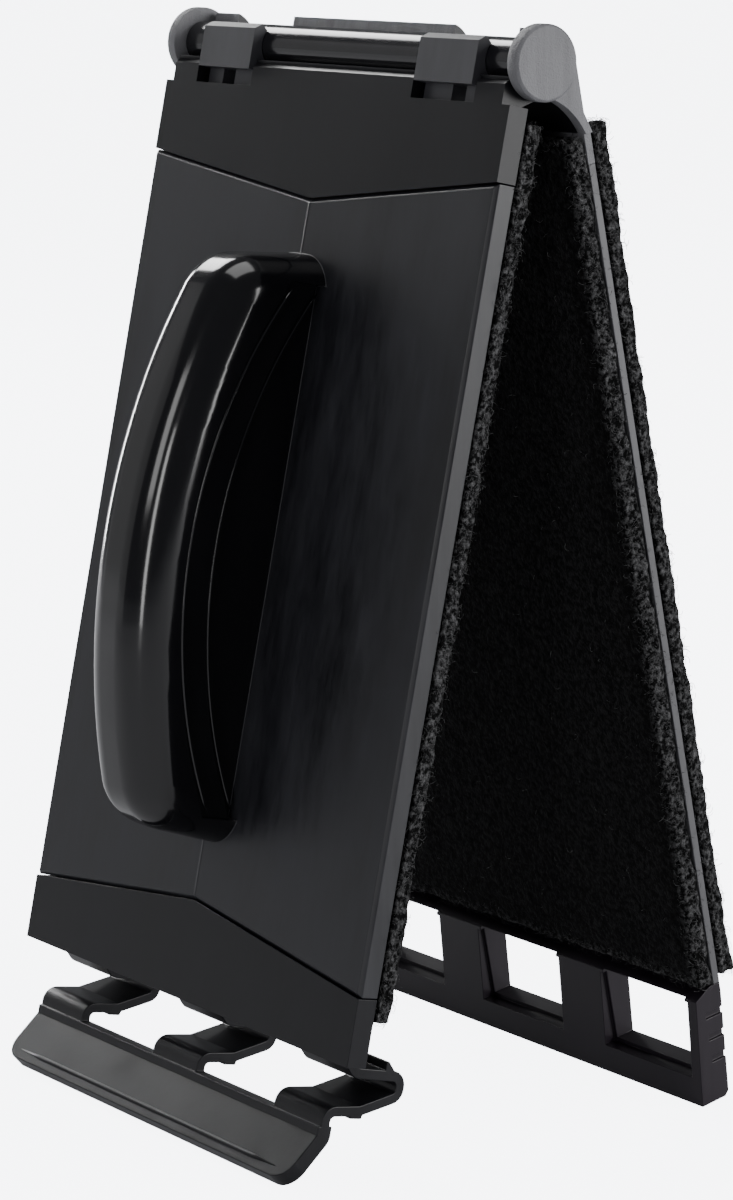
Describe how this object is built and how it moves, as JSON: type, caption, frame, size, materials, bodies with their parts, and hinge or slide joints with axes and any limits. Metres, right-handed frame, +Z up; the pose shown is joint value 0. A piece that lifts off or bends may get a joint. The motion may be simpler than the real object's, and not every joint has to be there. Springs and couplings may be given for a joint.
{
  "type": "string and fretboard wiper",
  "caption": "Folding plastic wiper with felt pads: two hinged leaves, an arched pinch handle and a sprung clasp, standing open like a tent.",
  "frame": {"origin": "on the ground under the middle of the standing object's outer size", "axes": "+X along the hinge, +Y towards the rear leaf, +Z up; the handle faces -Y"},
  "size_m": [0.0714, 0.0676, 0.1315],
  "materials": {
    "band_plastic": "satin",
    "hook_plastic": "satin",
    "panel_plastic": "satin panel, polished handle",
    "clasp_plastic": "satin",
    "arm_plastic": "matte",
    "rear_plastic": "satin",
    "rod_plastic": "polished",
    "felt": "needled felt",
    "tape": "foam tape"
  },
  "bodies": {
    "front_leaf": {"header_band": "band_plastic", "hinge_saddles": "band_plastic", "hinge_hooks": "hook_plastic", "handle_panel": "panel_plastic", "footer_band": "band_plastic", "front_pad": "felt", "front_pad_tape": "tape"},
    "rear_leaf": {"rear_plate": "rear_plastic", "hinge_arm_left": "arm_plastic", "hinge_arm_right": "arm_plastic", "hinge_rod": "rod_plastic", "catch_strip": "rear_plastic", "inner_pad": "felt", "inner_pad_tape": "tape", "outer_pad": "felt", "outer_pad_tape": "tape"},
    "clasp": {"clasp": "clasp_plastic"}
  },
  "joints": [
    {"name": "leaf_fold", "type": "hinge", "parent": "front_leaf", "child": "rear_leaf", "pos_m": [0, 0.00303, 0.12714], "axis": [1, 0, 0], "range_deg": [-23.6, 156.4]},
    {"name": "clasp_flex", "type": "hinge", "parent": "front_leaf", "child": "clasp", "pos_m": [0, -0.0228, 0.01444], "axis": [-1, 0, 0], "range_deg": [0, 10], "stiffness_Nm_per_rad": 0.4, "springref_deg": -2.86}
  ]
}
